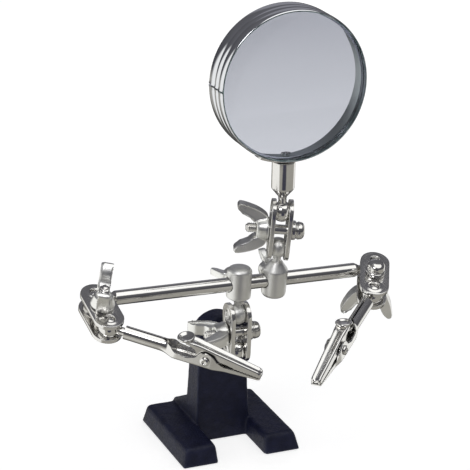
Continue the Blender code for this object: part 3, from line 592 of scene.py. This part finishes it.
def base_pieces():
    """Casting made soft and slightly uneven, and its ball stud."""
    shape = bmesh.new()
    shape.from_mesh(frame["nodes"]["base_casting"].data)
    bmesh.ops.scale(shape, vec=(1 / MM, 1 / MM, 1 / MM), verts=shape.verts)
    shape = fused(shape, voxel=0.42, smoothing=7)
    for vert in shape.verts:
        p = vert.co
        ripple = sin(p.x * 0.9 + 1.3 * sin(p.z * 0.7)) * sin(p.y * 0.8 + p.z * 0.5)
        if p.z > 0.3:
            vert.co = p + vert.normal * (0.05 * ripple)
    add_piece("base_rough_casting", shape, Matrix(), "base", ENAMEL,
              ["base_casting"], 80)
    stud = ball_line() + softened([
        (NECK, 3.6), (NECK, 5.6, 0.5), (3.6, 7.4, 0.5), (4.2, 8.0, 0.5),
        (4.2, 13.3, 0.4), (3.8, 13.9, 0.2), (2.5, 13.9, 0.1), (2.5, 19.6, 0.3), (0, 19.6)])[1:]
    origin = place("lower_ball")
    add_piece("base_ball_stud_turned", lathe(stud), frame_of(origin, (1, 0, 0), (0, 1, 0)),
              "base", NICKEL, ["base_ball_stud"])


def slider_block(name, where, profile, bar_height, body):
    """Turned block with its ball below, a cross bore for the bar and a hole for its screw."""
    block = lathe(ball_line() + softened(profile)[1:], 72)
    lift = Matrix.Translation((0, 0, bar_height))
    bore_radius = BAR_RADIUS + 0.25
    bore = lathe([(0, -9), (bore_radius, -9), (bore_radius, 9), (0, 9)], 64)
    block = bored(block, moved(bore, lift @ Matrix.Rotation(pi / 2, 4, "Y")))
    hole = lathe([(0, 1), (2.1, 1), (2.1, 9), (0, 9)], 40)
    block = bored(block, moved(hole, lift @ Matrix.Rotation(-pi / 2, 4, "X")))
    add_piece(name + "_turned", block, where, body, SATIN, [name])


def thumb_screw(name, where, turn, body):
    """Wing screw at the back of a block."""
    hub = lathe(softened([
        (0, 5.7), (2.2, 5.7, 0.2), (3.2, 6.3, 0.3), (3.2, 9.4, 0.6), (2.4, 10.5, 0.4),
        (0, 10.6)]), 48)
    wings = wing_pair(root=1.2, reach=6.6, base=6.3, height=7.6, thickness=2.2, rim=0.5)
    screw = fused(joined(hub, wings), voxel=0.17, smoothing=5)
    screw = joined(screw, thread(1.85, 3.1, 6.4))
    add_piece(name + "_cast", screw, where @ turned(turn), body, CAST, [name], 80)


def cross_bar_piece():
    """Round bar, necked down at both ends to a ball."""
    left, right = 50.3, 48.5
    neck = 8.2
    profile = []
    for radius, height in ball_line():
        profile.append((radius, -left - neck + height))
    profile += softened([
        (NECK, -left - 4.0), (NECK, -left - 1.9, 0.6), (2.5, -left - 0.3, 0.3),
        (BAR_RADIUS, -left + 0.2, 0.3), (BAR_RADIUS, right - 0.2, 0.3), (2.5, right + 0.3, 0.3),
        (NECK, right + 1.9, 0.6), (NECK, right + 4.0)])
    for radius, height in reversed(ball_line()):
        profile.append((radius, right + neck - height))
    where = frame_of(place("bar_screw_turn"), (0, 0, 1), line("bar_slide"))
    add_piece("cross_bar_turned", lathe(profile, 64), where, "cross_bar", NICKEL,
              ["cross_bar"])


# ---------------------------------------------------------------- magnifier

def ring_shape():
    """Rolled rim with three bands, open at a narrow seam on its left side."""
    edges = (-8.6, -4.2, -0.6, 5.0)
    profile = []
    for low, high in zip(edges, edges[1:]):
        for k in range(11):
            t = k / 10
            bulge = sqrt(max(1 - (2 * t - 1) ** 2, 0.0))
            profile.append((28.85 + 0.38 * bulge, low + 0.06 + (high - low - 0.12) * t))
    profile += [(28.6, 5.05), (27.9, 5.05), (27.5, 4.75), (RING_BORE, 4.3), (RING_BORE, -4.25),
                (28.58, -4.25), (28.6, -8.5), (28.7, -8.62)]
    shape = bmesh.new()
    rings = []
    steps = 200
    for s in range(steps + 1):
        angle = radians(181.0 + 358.6 * s / steps)
        flare = 0.2 if s in (0, steps) else 0.0
        rings.append([shape.verts.new(((r + flare) * cos(angle), (r + flare) * sin(angle), z))
                      for r, z in profile])
    count = len(profile)
    for low, high in zip(rings, rings[1:]):
        for i in range(count):
            j = (i + 1) % count
            shape.faces.new((low[i], low[j], high[j], high[i]))
    shape.faces.new(rings[0])
    shape.faces.new(rings[-1])
    return shape


def dress_faces(piece, material, low, high):
    """Gives the faces of a turned piece between two radii a finish of their own."""
    piece.data.materials.append(material)
    for face in piece.data.polygons:
        if low * MM < face.center.xy.length < high * MM:
            face.material_index = 1


def lens_piece(where):
    """Biconvex lens, flush with the rim, with a ground green edge."""
    front, back, radius = -8.55, -4.6, 28.4
    front_rise, back_rise = 1.6, 3.0
    profile = []
    for i in range(16):
        share = i / 15
        profile.append((28.0 * share, front - front_rise * (1 - share ** 2)))
    profile += [(28.25, front + 0.08), (radius, front + 0.3), (radius, back + 0.3),
                (28.2, back)]
    for i in range(12, -1, -1):
        share = i / 12
        profile.append((27.3 * share, back + back_rise * (1 - share ** 2)))
    lens = add_piece("magnifier_lens_ground", lathe(profile, 160), where, "magnifier", GLASS,
                     ["magnifier_lens"], 25)
    dress_faces(lens, GLASS_EDGE, 28.3, 30.0)


def magnifier_pieces():
    """Stem, ring, lens, and the saddle and screw that hold the ring on the stem."""
    origin = place("magnifier_tilt")
    across = line("bar_slide")
    up = across.cross(Vector((0, 1, 0)))
    stem_frame = frame_of(origin, across, up)
    saddle_inner = RING_RADIUS + 0.3
    saddle_outer = saddle_inner + 1.2
    sleeve_top = RING_OVER_BALL - saddle_outer - 0.3
    stem = ball_line() + softened([
        (NECK, 3.6), (NECK, 6.0, 0.5), (2.4, 6.9, 0.4), (2.7, 7.3, 0.2), (4.45, 9.4, 0.5),
        (4.5, sleeve_top, 0.3), (1.8, sleeve_top, 0.1), (1.8, sleeve_top - 5, 0.1),
        (0, sleeve_top - 5)])[1:]
    add_piece("magnifier_stem_turned", lathe(stem, 72), stem_frame, "magnifier", NICKEL,
              ["magnifier_stem"])
    centre = stem_frame @ Vector((0, 0, RING_OVER_BALL * MM))
    lens_frame = frame_of(centre, across, (0, 1, 0))
    ring = add_piece("lens_ring_rolled", ring_shape(), lens_frame, "magnifier", CHROME,
                     ["lens_ring"], 50)
    # the inner faces get the bore finish with its painted teal reflection
    dress_faces(ring, BORE, 0.0, RING_BORE + 0.05)
    lens_piece(lens_frame)
    half_angle = 20.5
    outline = arc((0, 0), saddle_outer, 90 - half_angle, 90 + half_angle, 40)
    outline += arc((0, 0), saddle_inner, 90 + half_angle, 90 - half_angle, 40)
    saddle = flat_plate([outline], -3.0, 3.0, 0.3)
    add_piece("magnifier_saddle_bent", saddle, lens_frame, "magnifier", SHEET,
              ["magnifier_saddle"])
    head = RING_OVER_BALL - RING_BORE + 0.55
    screw = lathe(softened([
        (0, sleeve_top - 4.0), (1.3, sleeve_top - 4.0, 0.2), (1.3, head, 0.1),
        (1.9, head, 0.15), (1.75, head + 0.7, 0.4), (0, head + 1.1)]), 40)
    add_piece("magnifier_saddle_screw_turned", screw, stem_frame, "magnifier", NICKEL,
              ["magnifier_saddle_screw"])


# ---------------------------------------------------------------- clips

def sheet(sections):
    """Joins sections of bent sheet. Each runs out on one face and back on the other."""
    shape = bmesh.new()
    rings = [[shape.verts.new(point) for point in section] for section in sections]
    count = len(rings[0])
    for low, high in zip(rings, rings[1:]):
        for i in range(count):
            j = (i + 1) % count
            shape.faces.new((low[i], low[j], high[j], high[i]))
    for ring in (rings[0], rings[-1]):
        for i in range(count // 2 - 1):
            shape.faces.new((ring[i], ring[i + 1], ring[count - 2 - i], ring[count - 1 - i]))
    return shape


def channel(half_width, low, high, corner, sag=0.0):
    """Down one side, across the floor and up the other, with rounded floor corners."""
    corner = min(corner, 0.45 * abs(high - low), 0.9 * half_width)
    sign = 1 if high > low else -1
    left = [(-half_width, high + (low + sign * corner - high) * k / 6) for k in range(7)]
    for k in range(1, 6):
        angle = radians(180 + 90 * k / 6)
        left.append((-half_width + corner + corner * cos(angle),
                     low + sign * (corner + corner * sin(angle))))
    inner = half_width - corner
    for k in range(4):
        y = -inner * (1 - k / 4)
        left.append((y, low + sign * sag * (1 - (y / max(inner, 1e-6)) ** 2)))
    return left + [(0.0, low + sign * sag)] + [(-y, z) for y, z in reversed(left)]


def tube(radius, count):
    """A nearly closed round section, open at a seam on top."""
    return arc((0.0, 0.0), radius, 97, 443, count - 1)


def fixed_section(x, top):
    """Section of the fixed jaw at x: a tube that opens into a channel."""
    opening = min(max((x - 20.6) / (26.5 - 20.6), 0.0), 1.0)
    opening = opening * opening * (3 - 2 * opening)
    half_width = straight_curve(
        ((18, 2.8), (26.3, 3.3), (41.4, 3.4), (46.5, 2.55), (TIP, 1.95)), x)
    low = smooth_curve(((18, -2.7), (26.3, -2.95), (41.4, -2.8), (46.5, -2.5),
                        (TIP - 1.2, -1.8), (TIP, -1.35)), x)
    outer = channel(half_width, low, top, 1.15)
    inner = channel(half_width - 0.55, low + 0.55, top, 0.7)
    points = []
    for round_line, bent in ((tube(2.6, len(outer)), outer), (tube(2.08, len(inner)), inner)):
        edge = []
        for (y0, z0), (y1, z1) in zip(round_line, bent):
            edge.append((x, y0 + (y1 - y0) * opening, z0 + (z1 - z0) * opening))
        points += edge if not points else reversed(edge)
    return points


def tooth(x):
    """Height of the bite line's teeth at x."""
    if x < BITE_START or x > TIP - 0.6:
        return 0.0
    return TOOTH_HEIGHT * abs((((x - BITE_START) / 1.2) % 1.0) * 2 - 1)


def curve_before_teeth(table, x):
    """A jaw's edge at x: smooth up to the bite line, straight along it."""
    if x < BITE_START:
        return smooth_curve(table, x)
    return straight_curve(table, x)


FIXED_TOP = ((20.6, 2.3), (24.0, 1.9), (27.5, 0.1), (31.0, -0.3), (34.2, 0.8), (36.6, 3.6),
             (38.4, 4.2), (40.6, 3.6), (43.4, 1.0), (45.4, -0.1), (48.8, -0.25),
             (BITE_START, 0.0), (TIP - 0.6, -0.85), (TIP, -1.0))


def fixed_jaw(prefix, where):
    """Lower jaw and its tube, bent from one sheet."""
    stations = [6.4, 6.55] + [6.8 + 0.8 * i for i in range(54)]
    stations += [BITE_START + 0.15 * i for i in range(66)]
    sections = []
    for x in stations:
        top = curve_before_teeth(FIXED_TOP, x)
        sections.append(fixed_section(x, top - tooth(x)))
    name = f"{prefix}_clip_fixed_jaw"
    jaw = sheet(sections)
    add_piece(name + "_bent", jaw, where, f"{prefix}_clip", SHEET, [name], 42)


MOVING_LOW = ((30.6, 5.3), (33.4, 4.6), (35.8, 0.6), (37.4, -1.3), (39.6, -1.4), (41.8, 0.2),
              (43.6, 1.5), (45.6, 1.3), (48.8, 0.7), (BITE_START, 0.22), (TIP - 0.6, -0.62),
              (TIP, -0.5))
MOVING_TOP = ((30.0, 6.45), (34.0, 6.2), (44.6, 4.25), (TIP - 1.4, 1.75), (TIP - 0.4, 1.2),
              (TIP, 0.6))
MOVING_WIDTH = ((29.0, 2.7), (33.7, 2.6), (36.0, 2.35), (45.5, 2.3), (TIP - 0.6, 1.95),
                (TIP, 1.5))


def moving_jaw(prefix, where):
    """Upper jaw: a valley-topped channel whose lever ends in a dished thumb pad."""
    stations = [30.2 + 0.6 * i for i in range(33)] + [49.8 + 0.15 * i for i in range(65)]
    sections = []
    for x in stations:
        low = curve_before_teeth(MOVING_LOW, x)
        if BITE_START < x < TIP - 0.6:
            low += TOOTH_HEIGHT - tooth(x)
        top = straight_curve(MOVING_TOP, x)
        half_width = straight_curve(MOVING_WIDTH, x)
        low = min(low, top - 0.75)
        outer = channel(half_width, top, low, 0.75, 0.42)
        inner = channel(half_width - 0.5, top - 0.5, low, 0.4, 0.42)
        points = [(x, y, z) for y, z in outer]
        points += [(x, y, z) for y, z in reversed(inner)]
        sections.append(points)
    jaw = sheet(sections)
    pad = lathe(softened([
        (0, 0.0), (1.6, 0.1, 0.8), (2.6, 0.75, 0.3), (3.05, 0.8, 0.2), (3.35, 0.4, 0.3),
        (3.1, -0.3, 0.5), (2.0, -0.75, 0.6), (0, -0.85)]), 48)
    bmesh.ops.rotate(pad, cent=(0, 0, 0), matrix=Matrix.Rotation(radians(-12), 3, "Y"),
                     verts=pad.verts)
    bmesh.ops.translate(pad, vec=(29.5, 0, 6.25), verts=pad.verts)
    name = f"{prefix}_clip_moving_jaw"
    add_piece(name + "_bent", joined(jaw, pad), where, f"{prefix}_jaw", SHEET,
              [name], 42)


def rivet(prefix, where):
    """Pivot rivet with a dished head at both ends."""
    name = f"{prefix}_clip_rivet"
    half = softened([
        (1.1, 0.0), (1.1, 3.45, 0.1), (1.9, 3.5, 0.15), (1.75, 4.1, 0.5), (0.9, 4.45, 0.3),
        (0.6, 4.0, 0.2), (0, 3.9)])
    profile = [(radius, -height) for radius, height in reversed(half)] + half[1:]
    pivot = where @ Matrix.Translation(Vector((RIVET_X, 0, RIVET_Z)) * MM)
    pivot = pivot @ Matrix.Rotation(-pi / 2, 4, "X")
    add_piece(name + "_peened", lathe(profile, 40), pivot, f"{prefix}_clip", NICKEL,
              [name])


def spring(prefix, where):
    """Torsion spring wire wound round the rivet."""
    points = [Vector((RIVET_X - 9.0, -1.05, RIVET_Z - 2.6))]
    points.append(Vector((RIVET_X - 4.0, -1.05, RIVET_Z - 2.2)))
    steps = 90
    turns = 2.5
    for i in range(steps + 1):
        angle = 2 * pi * turns * i / steps - pi / 2
        y = -1.05 + 2.1 * i / steps
        points.append(Vector((RIVET_X + 1.8 * cos(angle), y, RIVET_Z + 1.8 * sin(angle))))
    points.append(Vector((RIVET_X - 5.0, 1.05, RIVET_Z + 2.6)))
    wire_radius = 0.27
    sides = 12
    shape = bmesh.new()
    rings = []
    for i, point in enumerate(points):
        ahead = points[min(i + 1, len(points) - 1)]
        behind = points[max(i - 1, 0)]
        tangent = (ahead - behind).normalized()
        across = tangent.cross(Vector((0, 1, 0))).normalized()
        over = across.cross(tangent)
        ring = []
        for k in range(sides):
            angle = 2 * pi * k / sides
            offset = across * (wire_radius * cos(angle)) + over * (wire_radius * sin(angle))
            ring.append(shape.verts.new(point + offset))
        rings.append(ring)
    for low, high in zip(rings, rings[1:]):
        for k in range(sides):
            n = (k + 1) % sides
            shape.faces.new((low[k], low[n], high[n], high[k]))
    shape.faces.new(rings[0])
    shape.faces.new(rings[-1])
    name = f"{prefix}_clip_spring"
    add_piece(name + "_wound", shape, where, f"{prefix}_clip", WIRE, [name])


def clip_stem(prefix, where):
    """Ball with a pin that turns in the clip's tube."""
    profile = ball_line() + softened([
        (NECK, 3.6), (NECK, 6.2, 0.3), (1.75, 6.6, 0.2), (1.75, 17.5, 0.3), (1.2, 18.2, 0.2),
        (0, 18.2)])[1:]
    name = f"{prefix}_clip_ball_stem"
    turn = Matrix(((0, 0, 1, 0), (1, 0, 0, 0), (0, 1, 0, 0), (0, 0, 0, 1)))
    add_piece(name + "_turned", lathe(profile, 48), where @ turn, f"{prefix}_clip_stem",
              NICKEL, [name])


def clip_pieces(prefix):
    """All the pieces of one clip, in a frame with X along the clip from its ball."""
    along_clip = line(f"{prefix}_clip_turn")
    across = -line(f"{prefix}_jaw_pivot")
    where = frame_of(place(f"{prefix}_clip_ball"), along_clip, along_clip.cross(across))
    fixed_jaw(prefix, where)
    moving_jaw(prefix, where)
    rivet(prefix, where)
    spring(prefix, where)
    clip_stem(prefix, where)


# ---------------------------------------------------------------- build everything

def build_object():
    """Every piece of the object, from the base up."""
    base_pieces()
    # for each double joint: the joints at its two balls, and how far its nut is turned
    ends = {
        "lower": ("lower_ball", "arm_swivel", 88),
        "upper": ("upper_ball", "magnifier_tilt", 2),
        "left": ("left_bar_ball", "left_clip_ball", -30),
        "right": ("right_bar_ball", "right_clip_ball", 85),
    }
    for prefix, (start, end, turn) in ends.items():
        origin = place(start)
        direction = (place(end) - origin).normalized()
        link_pieces(prefix, origin, direction, line(f"{prefix}_nut_turn"), turn)
    bar = line("bar_slide")
    low_frame = frame_of(place("arm_swivel"), bar, line("arm_swivel"))
    slider_block("bar_slider_block", low_frame, [
        (NECK, 3.6), (NECK, 5.4, 0.3), (2.2, 5.8, 0.2), (4.8, 7.6, 0.4), (4.8, 18.4, 0.4),
        (3.9, 19.5, 0.5), (2.0, 19.9, 1.0), (0, 19.95)], BAR_OVER_LOW_BALL, "bar_slider")
    lens_line = place("lens_screw_turn") - place("upper_ball")
    top_frame = frame_of(place("upper_ball"), -bar, lens_line)
    slider_block("lens_slider_block", top_frame, [
        (NECK, 3.6), (NECK, 5.5, 0.3), (2.3, 6.0, 0.3), (4.8, 9.4, 0.5), (4.8, 19.6, 0.6),
        (4.1, 20.5, 0.4), (0, 20.5)], BAR_UNDER_TOP_BALL, "lens_slider")
    for prefix, turn in (("bar", 178), ("lens", 82)):
        name = f"{prefix}_screw_turn"
        x_axis = bar if prefix == "bar" else -bar
        thumb_screw(f"{prefix}_slider_thumb_screw", frame_of(place(name), x_axis, line(name)),
                    turn, f"{prefix}_thumb_screw")
    cross_bar_piece()
    magnifier_pieces()
    clip_pieces("left")
    clip_pieces("right")


# ---------------------------------------------------------------- floor, light, camera

# centre of each patch of the room, its outer and inner half angles, and its colour
ROOM_PATCHES = (
    ((0.25, -0.28, 0.92), 33, 26, (1.25, 1.25, 1.24)),
    ((-0.93, 0.28, -0.25), 50, 40, (1.0, 1.0, 0.98)),
    ((-0.21, -0.92, -0.34), 22, 13, (0.06, 0.06, 0.085)),
    ((0.35, 0.60, -0.72), 42, 32, (0.08, 0.08, 0.075)),
    ((0.88, 0.42, -0.20), 24, 16, (0.95, 0.95, 0.93)),
    ((0.35, 0.87, 0.30), 20, 12, (0.26, 0.26, 0.29)),
)


def aim(thing, position, target):
    """Puts a light or camera at a position, looking at the target."""
    thing.location = position
    direction = Vector(target) - Vector(position)
    thing.rotation_mode = "QUATERNION"
    thing.rotation_quaternion = direction.to_track_quat("-Z", "Y")


def add_floor():
    """Pale floor, kept out of reflections because the room is drawn in the world."""
    shape = bmesh.new()
    bmesh.ops.create_grid(shape, x_segments=8, y_segments=8, size=12.0)
    mesh = bpy.data.meshes.new("floor")
    shape.to_mesh(mesh)
    floor = bpy.data.objects.new("floor", mesh)
    bpy.context.scene.collection.objects.link(floor)
    mesh.materials.append(floor_material())
    floor.location = (0, 0, -0.0003)
    floor.visible_glossy = False


def add_light(name, position, size, power, in_reflections):
    """A square soft light aimed at the object."""
    light = bpy.data.lights.new(name, "AREA")
    light.size = size
    light.energy = power
    lamp = bpy.data.objects.new(name, light)
    bpy.context.scene.collection.objects.link(lamp)
    lamp.visible_glossy = in_reflections
    aim(lamp, position, (0, 0, 0.08))


def room_patch(tree, direction, behind, centre, outer, inner, colour):
    """Lays a soft round patch over the room behind it. The angles are in degrees."""
    dot = tree.nodes.new("ShaderNodeVectorMath")
    dot.operation = "DOT_PRODUCT"
    tree.links.new(direction, dot.inputs[0])
    dot.inputs[1].default_value = Vector(centre).normalized()
    mask = tree.nodes.new("ShaderNodeMapRange")
    mask.interpolation_type = "SMOOTHSTEP"
    mask.inputs["From Min"].default_value = cos(radians(outer))
    mask.inputs["From Max"].default_value = cos(radians(inner))
    tree.links.new(dot.outputs["Value"], mask.inputs["Value"])
    mix = tree.nodes.new("ShaderNodeMix")
    mix.data_type = "RGBA"
    tree.links.new(mask.outputs["Result"], mix.inputs["Factor"])
    tree.links.new(behind, mix.inputs["A"])
    mix.inputs["B"].default_value = (*colour, 1)
    return mix.outputs["Result"]


def set_world():
    """Studio room: a dim room with a grey floor, and bright and dark patches around it."""
    world = bpy.data.worlds.new("studio")
    bpy.context.scene.world = world
    world.use_nodes = True
    tree = world.node_tree
    background = tree.nodes["Background"]
    direction = tree.nodes.new("ShaderNodeTexCoord").outputs["Generated"]
    parts = tree.nodes.new("ShaderNodeSeparateXYZ")
    tree.links.new(direction, parts.inputs["Vector"])
    height = ranged(tree, parts.outputs["Z"], -1, 1, 0, 1)
    room = ramp_node(tree, height, [
        (0.00, (0.36, 0.35, 0.32)), (0.40, (0.38, 0.37, 0.34)), (0.46, (0.06, 0.06, 0.07)),
        (0.70, (0.11, 0.11, 0.12)), (1.00, (0.14, 0.14, 0.155))])
    for patch in ROOM_PATCHES:
        room = room_patch(tree, direction, room, *patch)
    path = tree.nodes.new("ShaderNodeLightPath")
    mix = tree.nodes.new("ShaderNodeMix")
    mix.data_type = "RGBA"
    tree.links.new(path.outputs["Is Camera Ray"], mix.inputs["Factor"])
    tree.links.new(room, mix.inputs["A"])
    mix.inputs["B"].default_value = (1, 1, 1, 1)
    tree.links.new(mix.outputs["Result"], background.inputs["Color"])


def add_camera():
    """Long lens from the front left, a little above the object."""
    target = Vector((0.00662, 0.0, 0.08416))
    back = Vector((-0.34875, -0.87194, 0.34366)).normalized()
    camera_data = bpy.data.cameras.new("camera")
    camera_data.sensor_width = 36.0
    camera_data.lens = 168.5
    camera = bpy.data.objects.new("camera", camera_data)
    bpy.context.scene.collection.objects.link(camera)
    distance = 0.8563
    aim(camera, target + back * distance, target)
    bpy.context.scene.camera = camera


build_object()
add_floor()
set_world()
add_camera()
add_light("key", (-0.45, -0.55, 0.75), 0.35, 1.6, True)
add_light("back", (0.5, 0.7, 0.5), 0.3, 1.0, False)
bpy.context.scene.view_settings.view_transform = "Standard"
